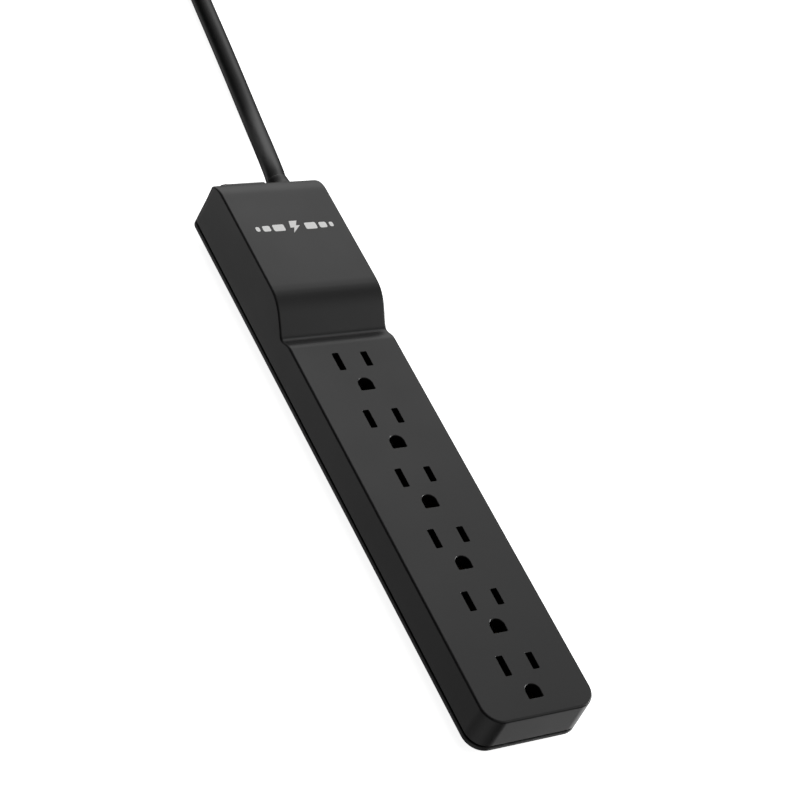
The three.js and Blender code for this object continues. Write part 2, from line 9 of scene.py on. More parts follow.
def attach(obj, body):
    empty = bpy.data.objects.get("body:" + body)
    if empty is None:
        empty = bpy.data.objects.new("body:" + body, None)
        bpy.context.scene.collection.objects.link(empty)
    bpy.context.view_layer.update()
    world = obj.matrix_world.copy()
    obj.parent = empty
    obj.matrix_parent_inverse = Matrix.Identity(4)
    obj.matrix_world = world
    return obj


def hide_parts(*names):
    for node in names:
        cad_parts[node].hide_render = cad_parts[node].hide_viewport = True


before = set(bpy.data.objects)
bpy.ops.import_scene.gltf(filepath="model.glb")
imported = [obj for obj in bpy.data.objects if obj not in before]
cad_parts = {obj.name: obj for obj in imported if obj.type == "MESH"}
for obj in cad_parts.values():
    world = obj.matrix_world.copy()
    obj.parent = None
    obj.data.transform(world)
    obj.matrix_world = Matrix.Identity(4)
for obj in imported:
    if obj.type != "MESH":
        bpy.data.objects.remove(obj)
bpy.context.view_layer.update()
scene = bpy.context.scene
scene.view_settings.view_transform = "Standard"
scene.view_settings.look = "None"

# ------------------------------------------------------------------ camera
cam_data = bpy.data.cameras.new("camera")
cam = bpy.data.objects.new("camera", cam_data)
scene.collection.objects.link(cam)
RIGHT = Vector((0.8305464, -0.4194586, 0.3663975))
UP = Vector((0.1005884, 0.7600183, 0.6420702))
BACK = Vector((-0.5477907, -0.4964137, 0.6734232))
cam.matrix_world = Matrix.Translation((-0.517931, -0.462176, 0.673255)) @ Matrix((RIGHT, UP, BACK)).transposed().to_4x4()
cam_data.sensor_width = 36.0
cam_data.lens = 114.555
cam_data.clip_start = 0.01
cam_data.clip_end = 60.0
scene.camera = cam

# ------------------------------------------------------------------ dimensions, in millimetres
FACE_Z, HEAD_RISE, HALF_WIDTH = 23.1, 7.85, 24.05
FRONT_Y, REAR_Y = -125.9, 130.13
DRAFT = math.tan(math.radians(1.54))
FRONT_R, REAR_R, WALL, TOP_WALL = 8.0, 4.2, 2.2, 2.4
ROLL_Y, ROLL_Z = 10.0, 8.4
SHELL_Z, TONGUE_TOP, GAP = 8.7, 12.0, 0.3
PAN_INSET, FLOOR_T = 6.6, 1.5
PITCH, FIRST_Y, GROUND_OFF = 28.48, 38.54, 11.9
EDGE_R = 0.85
SCREW_X, SCREW_Y = 14.5, (94.0, -9.0, -112.0)
SWITCH_X, SWITCH_Z, PIVOT_Y = -6.5, 16.6, 127.2
EXIT = (14.1, 137.9, 17.5)
CORD_D = 8.3
HANK_X, HANK_Y0, HANK_Y1 = 6.6, 306.0, 366.0
R_OUT, R_IN = 33.4, 25.0
TURN = math.radians(15)
PLUG_Y, PLUG_Z = 30.0, 13.0
OUTLETS = [FIRST_Y - PITCH * k for k in range(6)]
SIDE = [(8.6, 0), (9.5, -.08), (10.5, -.33), (11.5, -.74), (12.5, -1.2), (13.4, -1.6), (14.2, -1.83), (14.9, -1.88), (15.5, -1.74),
        (16.15, -1.36), (16.9, -.75), (21.3, 3.1), (22.6, 4.17), (23.7, 4.97), (24.8, 5.66), (26.1, 6.34), (27.6, 6.95), (29.3, 7.42),
        (31.3, 7.72), (34.0, HEAD_RISE)]

MM = 0.001


# ------------------------------------------------------------------ materials
def new_material(name):
    m = bpy.data.materials.new(name)
    m.use_nodes = True
    nt = m.node_tree
    bsdf = nt.nodes["Principled BSDF"]
    coord = nt.nodes.new("ShaderNodeTexCoord")
    return m, nt, bsdf, coord


def noise(nt, coord, scale, detail=2.0, rough=0.5, stretch=None):
    n = nt.nodes.new("ShaderNodeTexNoise")
    n.inputs["Scale"].default_value = scale
    n.inputs["Detail"].default_value = detail
    n.inputs["Roughness"].default_value = rough
    src = coord.outputs["Object"]
    if stretch:
        mp = nt.nodes.new("ShaderNodeMapping")
        mp.inputs["Scale"].default_value = stretch
        nt.links.new(src, mp.inputs["Vector"])
        src = mp.outputs["Vector"]
    nt.links.new(src, n.inputs["Vector"])
    return n


def ramp(nt, src, stops):
    r = nt.nodes.new("ShaderNodeValToRGB")
    e = r.color_ramp.elements
    while len(e) < len(stops):
        e.new(0.5)
    for el, (p, c) in zip(e, stops):
        el.position = p
        el.color = (*c, 1) if len(c) == 3 else c
    nt.links.new(src, r.inputs["Fac"])
    return r


def ranged(nt, src, lo, hi, a=0.0, b=1.0):
    r = nt.nodes.new("ShaderNodeMapRange")
    r.inputs["From Min"].default_value = a
    r.inputs["From Max"].default_value = b
    r.inputs["To Min"].default_value = lo
    r.inputs["To Max"].default_value = hi
    nt.links.new(src, r.inputs["Value"])
    return r


def bump(nt, bsdf, src, strength, distance, prev=None):
    b = nt.nodes.new("ShaderNodeBump")
    b.inputs["Strength"].default_value = strength
    b.inputs["Distance"].default_value = distance
    nt.links.new(src, b.inputs["Height"])
    if prev:
        nt.links.new(prev.outputs["Normal"], b.inputs["Normal"])
    nt.links.new(b.outputs["Normal"], bsdf.inputs["Normal"])
    return b


def plastic(name, dark, light, rough=(0.38, 0.46), grain=0.00032, depth=0.000012, strength=0.35, ior=1.5, coat=0.0):
    """Moulded plastic: a fine spark-eroded grain, slow changes of tone and of gloss."""
    m, nt, bsdf, coord = new_material(name)
    slow = noise(nt, coord, 28.0, 3.0)
    fine = noise(nt, coord, 1.0 / grain, 2.0, 0.55)
    nt.links.new(ramp(nt, slow.outputs["Fac"], [(0.3, dark), (0.7, light)]).outputs["Color"], bsdf.inputs["Base Color"])
    nt.links.new(ranged(nt, slow.outputs["Fac"], rough[0], rough[1], 0.3, 0.7).outputs["Result"], bsdf.inputs["Roughness"])
    bump(nt, bsdf, fine.outputs["Fac"], strength, depth)
    bsdf.inputs["IOR"].default_value = ior
    if coat:
        bsdf.inputs["Coat Weight"].default_value = coat
        bsdf.inputs["Coat Roughness"].default_value = 0.12
    return m


def metal(name, dark, light, rough=(0.22, 0.36), stretch=(1, 1, 1), scale=900.0, depth=0.000006):
    m, nt, bsdf, coord = new_material(name)
    line = noise(nt, coord, scale, 3.0, 0.6, stretch)
    slow = noise(nt, coord, 60.0, 2.0)
    nt.links.new(ramp(nt, slow.outputs["Fac"], [(0.3, dark), (0.72, light)]).outputs["Color"], bsdf.inputs["Base Color"])
    nt.links.new(ranged(nt, line.outputs["Fac"], rough[0], rough[1], 0.3, 0.7).outputs["Result"], bsdf.inputs["Roughness"])
    bump(nt, bsdf, line.outputs["Fac"], 0.3, depth)
    bsdf.inputs["Metallic"].default_value = 1.0
    return m


g3 = lambda v: (v, v, v * 1.03)
M = {
    "housing": plastic("moulded_black", g3(0.0020), g3(0.0034), (0.38, 0.44)),
    "cover": plastic("moulded_black_cover", g3(0.0022), g3(0.0036), (0.40, 0.48), depth=0.000016),
    "cord": plastic("cord_vinyl", g3(0.0018), g3(0.0032), (0.34, 0.44), grain=0.0005, depth=0.00001, strength=0.25),
    "soft_black": plastic("moulded_vinyl", g3(0.0022), g3(0.0040), (0.42, 0.52), grain=0.0004, depth=0.00001),
    "switch": plastic("switch_black", g3(0.003), g3(0.005), (0.36, 0.44), depth=0.000008),
    "rocker": plastic("rocker_red", (0.16, 0.006, 0.005), (0.24, 0.011, 0.008), (0.2, 0.28), depth=0.000003, strength=0.15, coat=0.5),
    "print": plastic("white_print", (0.80, 0.80, 0.79), (0.86, 0.86, 0.85), (0.45, 0.55), depth=0.000004, strength=0.2),
    "nylon": plastic("natural_nylon", (0.62, 0.58, 0.49), (0.72, 0.68, 0.59), (0.42, 0.52)),
    "carrier": plastic("contact_carrier_black", g3(0.006), g3(0.010), (0.5, 0.6)),
    "board": plastic("circuit_board_green", (0.012, 0.085, 0.028), (0.02, 0.12, 0.04), (0.3, 0.4), grain=0.0009, depth=0.00003),
    "varistor": plastic("varistor_blue", (0.012, 0.06, 0.30), (0.02, 0.09, 0.40), (0.22, 0.32), grain=0.0012, depth=0.00004),
    "fuse": plastic("fuse_sleeve", (0.55, 0.52, 0.44), (0.66, 0.62, 0.54), (0.5, 0.6), grain=0.0006, depth=0.00003),
    "capacitor": plastic("capacitor_yellow", (0.50, 0.30, 0.02), (0.62, 0.40, 0.04), (0.3, 0.4)),
    "wire_black": plastic("wire_black", g3(0.008), g3(0.012), (0.4, 0.5)),
    "wire_white": plastic("wire_white", (0.66, 0.66, 0.62), (0.76, 0.76, 0.72), (0.4, 0.5)),
    "wire_green": plastic("wire_green", (0.015, 0.17, 0.035), (0.025, 0.24, 0.05), (0.4, 0.5)),
    "lamp": plastic("lamp_glass", (0.75, 0.22, 0.06), (0.9, 0.32, 0.1), (0.06, 0.12), depth=0.000002, strength=0.1),
    "brass": metal("contact_brass", (0.52, 0.36, 0.13), (0.68, 0.50, 0.22), (0.28, 0.42), (1, 0.15, 1)),
    "copper": metal("contact_copper", (0.55, 0.26, 0.12), (0.66, 0.36, 0.2), (0.2, 0.35), (0.2, 1, 1)),
    "steel": metal("zinc_steel", (0.42, 0.43, 0.45), (0.58, 0.58, 0.58), (0.26, 0.42)),
    "tin": metal("tinned_terminal", (0.55, 0.54, 0.50), (0.66, 0.65, 0.61), (0.3, 0.45), (1, 0.2, 1)),
    "nickel": metal("nickel_blade", (0.60, 0.57, 0.50), (0.72, 0.69, 0.62), (0.16, 0.28), (1, 0.12, 1), 1400.0),
    "foil": plastic("label_foil", (0.42, 0.43, 0.45), (0.52, 0.53, 0.55), (0.32, 0.42), grain=0.0005, depth=0.000004),
    "ink": plastic("label_ink", g3(0.010), g3(0.016), (0.4, 0.5), depth=0.000002, strength=0.1),
}


# ------------------------------------------------------------------ mesh helpers
def clean_mesh(me):
    bm = bmesh.new()
    bm.from_mesh(me)
    bmesh.ops.remove_doubles(bm, verts=bm.verts, dist=1e-5)
    bmesh.ops.dissolve_degenerate(bm, edges=bm.edges, dist=1e-6)
    bmesh.ops.recalc_face_normals(bm, faces=bm.faces)
    bm.to_mesh(me)
    bm.free()


def rough_object(verts, faces, name="tmp"):
    """An object with millimetre vertices, for cutting and joining."""
    me = bpy.data.meshes.new(name)
    me.from_pydata([tuple(v) for v in verts], [], faces)
    me.validate()
    bm = bmesh.new()
    bm.from_mesh(me)
    bmesh.ops.recalc_face_normals(bm, faces=bm.faces)
    bm.to_mesh(me)
    bm.free()
    o = bpy.data.objects.new(name, me)
    scene.collection.objects.link(o)
    return o


def combine(a, b, operation):
    """a cut by, or joined with, b: both closed. Returns a with its new mesh."""
    mod = a.modifiers.new("b", "BOOLEAN")
    mod.operation = operation
    mod.object = b
    mod.solver = "MANIFOLD"
    bpy.context.view_layer.update()
    dg = bpy.context.evaluated_depsgraph_get()
    me = bpy.data.meshes.new_from_object(a.evaluated_get(dg))
    a.modifiers.clear()
    old = a.data
    a.data = me
    bpy.data.meshes.remove(old)
    bpy.data.objects.remove(b)
    return a


def joined(objs):
    """Separate closed solids that don't touch, as one object."""
    verts, faces = [], []
    for o in objs:
        k = len(verts)
        verts += [tuple(o.matrix_world @ v.co) for v in o.data.vertices]
        faces += [[k + i for i in p.vertices] for p in o.data.polygons]
        bpy.data.objects.remove(o)
    return rough_object(verts, faces)


def finish_piece(o, name, mat, body, replaced=(), angle=32.0, bevel=None, weighted=True, place=None):
    """Scales a millimetre object to metres, shades it and puts it on its body."""
    o.name = name
    me = o.data
    me.name = name
    clean_mesh(me)
    if place is not None:
        me.transform(place)
    me.transform(Matrix.Scale(MM, 4))
    me.materials.clear()
    me.materials.append(mat)
    for p in me.polygons:
        p.use_smooth = True
        p.material_index = 0
    bm = bmesh.new()
    bm.from_mesh(me)
    for e in bm.edges:
        e.smooth = not (len(e.link_faces) != 2 or e.calc_face_angle(0.0) > math.radians(angle))
    bm.to_mesh(me)
    bm.free()
    if bevel:
        b = o.modifiers.new("bevel", "BEVEL")
        b.width = bevel * MM
        b.segments = 3
        b.limit_method = "ANGLE"
        b.angle_limit = math.radians(40)
        b.harden_normals = False
    if weighted:
        w = o.modifiers.new("weighted", "WEIGHTED_NORMAL")
        w.keep_sharp = True
        w.weight = 80
    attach(o, body)
    if replaced:
        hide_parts(*replaced)
    return o


def lathe(profile, seg=48, axis="y", at=(0, 0, 0), closed=False):
    """A turned piece from (radius, height) points; ends at radius 0 are closed by a fan."""
    verts, faces, idx = [], [], []
    for r, h in profile:
        if r < 1e-6:
            idx.append([len(verts)])
            verts.append((0, 0, h))
        else:
            idx.append(list(range(len(verts), len(verts) + seg)))
            for i in range(seg):
                a = 2 * math.pi * i / seg
                verts.append((r * math.cos(a), r * math.sin(a), h))
    pairs = list(zip(idx, idx[1:])) + ([(idx[-1], idx[0])] if closed else [])
    for a, b in pairs:
        for i in range(seg):
            j = (i + 1) % seg
            if len(a) == 1 and len(b) == 1:
                continue
            if len(a) == 1:
                faces.append([a[0], b[i], b[j]])
            elif len(b) == 1:
                faces.append([a[i], a[j], b[0]])
            else:
                faces.append([a[i], a[j], b[j], b[i]])
    if axis == "y":
        verts = [(x, z, -y) for x, y, z in verts]
    elif axis == "x":
        verts = [(z, x, y) for x, y, z in verts]
    return rough_object([(x + at[0], y + at[1], z + at[2]) for x, y, z in verts], faces)


def loft(loops, cap=True, ring=False):
    """A skin through loops of equally many points."""
    n = len(loops[0])
    verts = [p for lp in loops for p in lp]
    faces = []
    m = len(loops)
    for k in range(m if ring else m - 1):
        a, b = k * n, ((k + 1) % m) * n
        for i in range(n):
            j = (i + 1) % n
            faces.append([a + i, a + j, b + j, b + i])
    if cap and not ring:
        faces.append(list(range(n))[::-1])
        faces.append([(m - 1) * n + i for i in range(n)])
    return rough_object(verts, faces)


def rr_loop(w, h, r, seg=6, cx=0.0, cy=0.0):
    """Points of a rectangle with round corners, counter-clockwise."""
    r = min(r, w / 2 - 1e-4, h / 2 - 1e-4)
    out = []
    for sx, sy, a0 in ((1, -1, -90), (1, 1, 0), (-1, 1, 90), (-1, -1, 180)):
        for i in range(seg + 1):
            a = math.radians(a0 + 90 * i / seg)
            out.append((cx + sx * (w / 2 - r) + r * math.cos(a), cy + sy * (h / 2 - r) + r * math.sin(a)))
    return out


def box(x0, x1, y0, y1, z0, z1):
    v = [(x, y, z) for z in (z0, z1) for y in (y0, y1) for x in (x0, x1)]
    return rough_object(v, [[0, 2, 3, 1], [4, 5, 7, 6], [0, 1, 5, 4], [2, 6, 7, 3], [0, 4, 6, 2], [1, 3, 7, 5]])


def hermite(points, y):
    """A smooth curve through (y, z) points that doesn't overshoot them."""
    ys = [p[0] for p in points]
    zs = [p[1] for p in points]
    if y <= ys[0]:
        return zs[0]
    if y >= ys[-1]:
        return zs[-1]
    k = max(i for i in range(len(ys) - 1) if ys[i] <= y)
    d = [(zs[i + 1] - zs[i]) / (ys[i + 1] - ys[i]) for i in range(len(ys) - 1)]

    def tangent(i):
        if i == 0 or i == len(ys) - 1:
            return 0.0
        a, b = d[i - 1], d[i]
        if a * b <= 0:
            return 0.0
        h0, h1 = ys[i] - ys[i - 1], ys[i + 1] - ys[i]
        w1, w2 = 2 * h1 + h0, h1 + 2 * h0
        return (w1 + w2) / (w1 / a + w2 / b)

    h = ys[k + 1] - ys[k]
    t = (y - ys[k]) / h
    m0, m1 = tangent(k) * h, tangent(k + 1) * h
    return ((2 * t**3 - 3 * t**2 + 1) * zs[k] + (t**3 - 2 * t**2 + t) * m0 + (-2 * t**3 + 3 * t**2) * zs[k + 1] + (t**3 - t**2) * m1)


ROLL_ZC = FACE_Z + HEAD_RISE - ROLL_Z
ROLL_YC = REAR_Y + (FACE_Z - ROLL_ZC) * DRAFT - ROLL_Y


def top_z(y, drop=0.0, wall=0.0):
    """Height of the top surface, or of the surface inside it by drop and wall. The rear end rolls down into the wall."""
    if y > ROLL_YC:
        t = min((y - ROLL_YC) / (ROLL_Y - wall), 1.0)
        return ROLL_ZC + (ROLL_Z - drop) * math.sqrt(1 - t * t)
    return FACE_Z + hermite(SIDE, y - FIRST_Y) - drop


# ------------------------------------------------------------------ housing outline
SIDE_YS = [-100.0, -60.0, -20.0, 20.0, 40.0] + [FIRST_Y + 8.2 + 0.42 * i for i in range(64)] + [80.0, 100.0, 112.0, 116.0, 118.6, 120.2, 121.3, 122.4, 123.5, 124.5, 125.3]


def outline(z, inset, nf=14, nr=10):
    grow = (FACE_Z - z) * DRAFT - inset
    hx, y0, y1 = HALF_WIDTH + grow, FRONT_Y - grow, REAR_Y + grow
    rf, rr = max(FRONT_R - inset, 1.0), max(REAR_R - inset, 1.0)
    right = []
    for i in range(nf + 1):
        a = math.radians(-90 + 90 * i / nf)
        right.append((hx - rf + rf * math.cos(a), y0 + rf + rf * math.sin(a)))
    squeeze = (y1 - rr - 112) / (REAR_Y - REAR_R - 112)
    right += [(hx, y if y <= 112 else 112 + (y - 112) * squeeze) for y in SIDE_YS]
    for i in range(nr + 1):
        a = math.radians(90 * i / nr)
        right.append((hx - rr + rr * math.cos(a), y1 - rr + rr * math.sin(a)))
    return right + [(-x, y) for x, y in reversed(right)]


HALF = len(outline(FACE_Z, 0)) // 2


def skin(levels, cap_first, cap_last):
    """levels are (inset, height, drop): height None follows the top surface, less drop. Caps are rows across the width."""
    verts, faces = [], []
    n = 2 * HALF
    for inset, z, drop in levels:
        for x, y in outline(z if z is not None else FACE_Z, inset):
            zz = z if z is not None else top_z(y, drop, inset if inset >= WALL else 0.0)
            if z is None:
                shift = (FACE_Z - zz) * DRAFT
                x += math.copysign(shift, x)
            verts.append((x, y, zz))
    for k in range(len(levels) - 1):
        for i in range(n):
            j = (i + 1) % n
            faces.append([k * n + i, k * n + j, (k + 1) * n + j, (k + 1) * n + i])
    for use, base, flip in ((cap_first, 0, True), (cap_last, (len(levels) - 1) * n, False)):
        if use:
            for i in range(HALF - 1):
                q = [base + i, base + i + 1, base + n - 2 - i, base + n - 1 - i]
                faces.append(q[::-1] if flip else q)
    return verts, faces


def fillet(inset, r, steps, top=None):
    """Levels of a rounded top edge, from the wall to the top surface."""
    out = []
    for i in range(steps + 1):
        a = math.radians(90 * i / steps)
        out.append((inset + r * (1 - math.cos(a)), top, r * (1 - math.sin(a))))
    return out


# ------------------------------------------------------------------ mains cord
def centripetal(points, steps):
    pts = [Vector(p) for p in points]
    pts = [pts[0] * 2 - pts[1]] + pts + [pts[-1] * 2 - pts[-2]]
    out = []
    for k in range(1, len(pts) - 2):
        p0, p1, p2, p3 = pts[k - 1:k + 3]
        t0 = 0.0
        t1 = t0 + (p1 - p0).length ** 0.5
        t2 = t1 + (p2 - p1).length ** 0.5
        t3 = t2 + (p3 - p2).length ** 0.5
        for i in range(steps):
            t = t1 + (t2 - t1) * i / steps
            a1 = p0 * ((t1 - t) / (t1 - t0)) + p1 * ((t - t0) / (t1 - t0))
            a2 = p1 * ((t2 - t) / (t2 - t1)) + p2 * ((t - t1) / (t2 - t1))
            a3 = p2 * ((t3 - t) / (t3 - t2)) + p3 * ((t - t2) / (t3 - t2))
            b1 = a1 * ((t2 - t) / (t2 - t0)) + a2 * ((t - t0) / (t2 - t0))
            b2 = a2 * ((t3 - t) / (t3 - t1)) + a3 * ((t - t1) / (t3 - t1))
            out.append(b1 * ((t2 - t) / (t2 - t1)) + b2 * ((t - t1) / (t2 - t1)))
    out.append(pts[-2])
    return out


def ease(a, b, t):
    t = min(max(t, 0.0), 1.0)
    return a + (b - a) * (t * t * t * (t * (6 * t - 15) + 10))


RUN = [(14.1, 137.4, 17.5), (15.15, 142.5, 17.35), (17.0, 149.5, 16.0), (19.85, 157.5, 13.3), (22.9, 165.8, 10.3),
       (26.1, 175.5, 7.2), (28.85, 186.5, 5.0), (30.75, 198.5, 4.2), (32.3, 212.0, 4.15), (34.4, 232.0, 4.15),
       (36.35, 252.0, 4.15), (37.95, 268.0, 4.15), (39.15, 282.0, 4.15), (39.85, 295.0, 4.15), (40.0, 306.0, 4.15)]
line = centripetal(RUN, 5)[:-1]
# the hank: a racetrack wound out, in, up and out again, followed along the middle of its two lanes
SPAN, R_MID = HANK_Y1 - HANK_Y0, (R_OUT + R_IN) / 2
ARC = math.pi * R_MID
LAP = 2 * SPAN + 2 * ARC


def track(p, r, z):
    q = p % LAP
    if q < SPAN:
        return Vector((HANK_X + r, HANK_Y0 + q, z))
    q -= SPAN
    if q < ARC:
        a = q / R_MID
        return Vector((HANK_X + r * math.cos(a), HANK_Y1 + r * math.sin(a), z))
    q -= ARC
    if q < SPAN:
        return Vector((HANK_X - r, HANK_Y1 - q, z))
    a = (q - SPAN) / R_MID
    return Vector((HANK_X - r * math.cos(a), HANK_Y0 - r * math.sin(a), z))


END = 3 * LAP + SPAN + TURN * R_MID
steps = int(END / 3.4)
for i in range(steps):
    p = END * i / steps
    r = ease(R_OUT, R_IN, (p - (LAP - 72)) / 60) if p < 1.5 * LAP else ease(R_IN, R_OUT, (p - (2 * LAP + 88)) / 58)
    z = ease(4.16, 12.46, (p - (LAP + SPAN + ARC + 1)) / 60)
    # the turns lift a little over the tie that passes under them
    away = abs((p - SPAN / 2 + LAP / 2) % LAP - LAP / 2)
    z += ease(0.58 if z < 8 else 0.42, 0.0, (away - 3) / 24)
    line.append(track(p, r, z))
on_hank = Matrix.Translation((HANK_X, HANK_Y1, 0)) @ Matrix.Rotation(TURN, 4, "Z")
for s, z in ((0.0, 12.46), (4, 12.46), (8, 12.47), (12, 12.5), (16, 12.58), (20, 12.7), (24, 12.83), (28, 12.95), (34, 13.0)):
    line.append(on_hank @ Vector((R_OUT, s, z)))


def tube(points, radius, sides=24):
    verts, faces = [], []
    n = len(points)
    t = [(points[min(i + 1, n - 1)] - points[max(i - 1, 0)]).normalized() for i in range(n)]
    u = t[0].orthogonal().normalized()
    for i in range(n):
        if i:
            u = (t[i - 1].rotation_difference(t[i])) @ u
            u = (u - t[i] * u.dot(t[i])).normalized()
        w = t[i].cross(u)
        for k in range(sides):
            a = 2 * math.pi * k / sides
            verts.append(points[i] + (u * math.cos(a) + w * math.sin(a)) * radius)
    for i in range(n - 1):
        for k in range(sides):
            j = (k + 1) % sides
            faces.append([i * sides + k, i * sides + j, (i + 1) * sides + j, (i + 1) * sides + k])
    faces.append(list(range(sides))[::-1])
    faces.append([(n - 1) * sides + k for k in range(sides)])
    return rough_object(verts, faces)


cord = finish_piece(tube(line, CORD_D / 2), "mains_cord", M["cord"], "housing", ("cord_run", "cord_hank", "cord_tail"), weighted=False)

# strain relief: its flanges hold it in the rear wall, and its smooth nose tapers down to the cord
prof = [(4.3, 110.2), (4.75, 110.25), (4.95, 110.5), (5.1, 111.0), (5.1, 125.0), (6.6, 125.0), (6.9, 125.2), (6.9, 127.2), (6.7, 127.4), (5.4, 127.4), (5.4, 130.8),
        (6.35, 130.8), (6.5, 130.95), (6.5, 131.4), (6.35, 131.65), (5.95, 132.0)]
prof += [(5.35, 132.7), (4.95, 133.6), (4.72, 134.8), (4.6, 136.2), (4.52, 137.4), (4.42, 137.75), (4.3, 137.9), (4.16, 137.9), (4.16, 112.0)]
relief = finish_piece(lathe([(r, y) for r, y in prof], 56, "y", (EXIT[0], 0, EXIT[2]), closed=True), "cord_strain_relief", M["soft_black"], "housing",
                      ("strain_relief",), weighted=False)

# plug relief and plug, drawn along +Y past the hank's far end
prof = [(4.16, PLUG_Y + 0.4), (4.3, PLUG_Y + 0.05), (4.8, PLUG_Y), (5.0, PLUG_Y + 0.25), (5.1, PLUG_Y + 0.8)]
for k in range(5):
    y = PLUG_Y + 1.6 + 3.5 * k
    r = 5.2 + 0.095 * (y - PLUG_Y)
    prof += [(r, y), (r + 0.05, y + 1.55), (r - 0.1, y + 1.75), (r - 0.75, y + 1.9), (r - 0.85, y + 2.5), (r - 0.7, y + 3.0), (r + 0.08, y + 3.15), (r + 0.25, y + 3.3)]
prof += [(7.0, PLUG_Y + 19.4), (7.2, PLUG_Y + 20.8), (6.6, PLUG_Y + 22.5), (4.16, PLUG_Y + 22.5)]
plug_relief = finish_piece(lathe(prof, 56, "y", (R_OUT, 0, PLUG_Z), closed=True), "plug_strain_relief", M["soft_black"], "housing", ("plug_relief",),
                           weighted=False, place=on_hank)

y0 = PLUG_Y + 21
y1 = y0 + 37
loops = []
for d, kx, ky, r in ((0, .44, .50, 5.0), (0.5, .52, .56, 5.4), (1.4, .575, .60, 5.6), (3, .62, .64, 5.6), (6, .69, .71, 5.6), (10, .775, .79, 5.6), (14, .845, .86, 5.5), (18, .90, .91, 5.4),
                     (22, .945, .95, 5.3), (26, .975, .98, 5.2), (29, .992, .995, 5.1), (32, 1, 1, 5.0), (35.6, 1, 1, 5.0), (36.2, .992, .99, 4.9), (36.7, .975, .97, 4.7), (37, .945, .935, 4.3)):
    w, h = 31 * kx, 25.8 * ky
    pts = rr_loop(w, h, r * min(1.0, kx + .15), 8)
    loops.append([(R_OUT + x, y0 + d, PLUG_Z + z) for x, z in pts])
body = loft(loops)
ribs = []
for sx in (-1, 1):
    for k in range(5):
        yy = y0 + 8.0 + 4.2 * k
        frac = np.interp(yy - y0, [6, 10, 14, 18, 22, 26], [.69, .775, .845, .90, .945, .975])
        ribs.append(box(*sorted((R_OUT + sx * (15.5 * frac - 0.7), R_OUT + sx * 20)), yy, yy + 1.9, PLUG_Z - 6.2 * frac, PLUG_Z + 6.2 * frac))
body = combine(body, joined(ribs), "DIFFERENCE")
plug = finish_piece(body, "plug_moulding", M["soft_black"], "housing", ("plug_body",), bevel=0.35, place=on_hank)


def blade(cx):
    pts = [(-3.2, y1 - 1.0), (3.2, y1 - 1.0), (3.2, y1 + 16.3), (2.2, y1 + 17.9), (-2.2, y1 + 17.9), (-3.2, y1 + 16.3)]
    zc = PLUG_Z - 5.4
    a = loft([[(cx + t, y, zc + z) for z, y in pts] for t in (-0.75, 0.75)])
    hole = lathe([(0, -2), (1.6, -2), (1.6, 2), (0, 2)], 28, "x", (cx, y1 + 12.6, zc))
    return combine(a, hole, "DIFFERENCE")


for nm, dx in (("neutral_blade", -6.35), ("live_blade", 6.35)):
    finish_piece(blade(R_OUT + dx), "plug_" + nm, M["nickel"], "housing", (nm,), bevel=0.16, place=on_hank)
pin = lathe([(0, y1 - 1), (2.38, y1 - 1), (2.38, y1 + 17.6), (2.3, y1 + 18.5), (2.05, y1 + 19.4), (1.6, y1 + 20.2), (1.0, y1 + 20.8), (0.45, y1 + 21.1), (0, y1 + 21.2)], 36, "y", (R_OUT, 0, PLUG_Z + 6.5))
finish_piece(pin, "plug_ground_pin", M["nickel"], "housing", ("ground_pin",), weighted=False, place=on_hank)

RING_IN = R_IN - 4.4
# twist tie: a flat band round the turns, its ends twisted together inside the loop
tie_at = Matrix.Translation((HANK_X, (HANK_Y0 + HANK_Y1) / 2, 0))


def tie_ring(grow):
    return [(R_MID + x, 0.0, 8.835 + z) for x, z in rr_loop(17.9 + 2 * grow, 16.53 + 2 * grow, 3.4 + grow, 8)]


loops = []
for w, g in ((-1.9, 0.02), (-2.0, 0.25), (-1.9, 0.5), (0.0, 0.5), (1.9, 0.5), (2.0, 0.25), (1.9, 0.02), (0.0, 0.02)):
    loops.append([(x, w, z) for x, _, z in tie_ring(g)])
band = loft(loops, cap=False, ring=True)
twist = []
for k in range(33):
    s = k / 32
    a = math.pi * 3.0 * s
    cx = RING_IN - 0.4 - 6.3 * s
    half, th = 1.0 - 0.1 * s, 0.32
    c, sn = math.cos(a), math.sin(a)
    ring = [(-half, -th), (half, -th), (half, th), (-half, th)]
    twist.append([(cx, u * c - v * sn, 7.2 + u * sn + v * c) for u, v in ring])
finish_piece(joined([band, loft(twist)]), "cord_twist_tie", M["soft_black"], "housing", ("cord_tie",), angle=50, place=tie_at)

# ------------------------------------------------------------------ top shell
lv = [(0.25, SHELL_Z, 0), (0.08, SHELL_Z + 0.08, 0), (0.0, SHELL_Z + 0.25, 0), (0.0, 14.0, 0), (0.0, 19.0, 0)]
lv += fillet(0.0, EDGE_R, 7)
outer_v, outer_f = skin(lv, False, True)
li = [(1.15, SHELL_Z, 0), (1.15, TONGUE_TOP + GAP, 0), (WALL, TONGUE_TOP + GAP, 0), (WALL, 16.0, 0), (WALL, None, TOP_WALL)]
inner_v, inner_f = skin(li, False, True)
k = len(outer_v)
n = 2 * HALF
verts = outer_v + inner_v
faces = outer_f + [[k + i for i in f][::-1] for f in inner_f]
for i in range(n):
    j = (i + 1) % n
    faces.append([i, k + i, k + j, j])
shell = rough_object(verts, faces)


def prism(loop_at, levels):
    """A cutter through loops at (height, outward offset)."""
    return loft([[(x, y, z) for x, y in loop_at(off)] for z, off in levels])


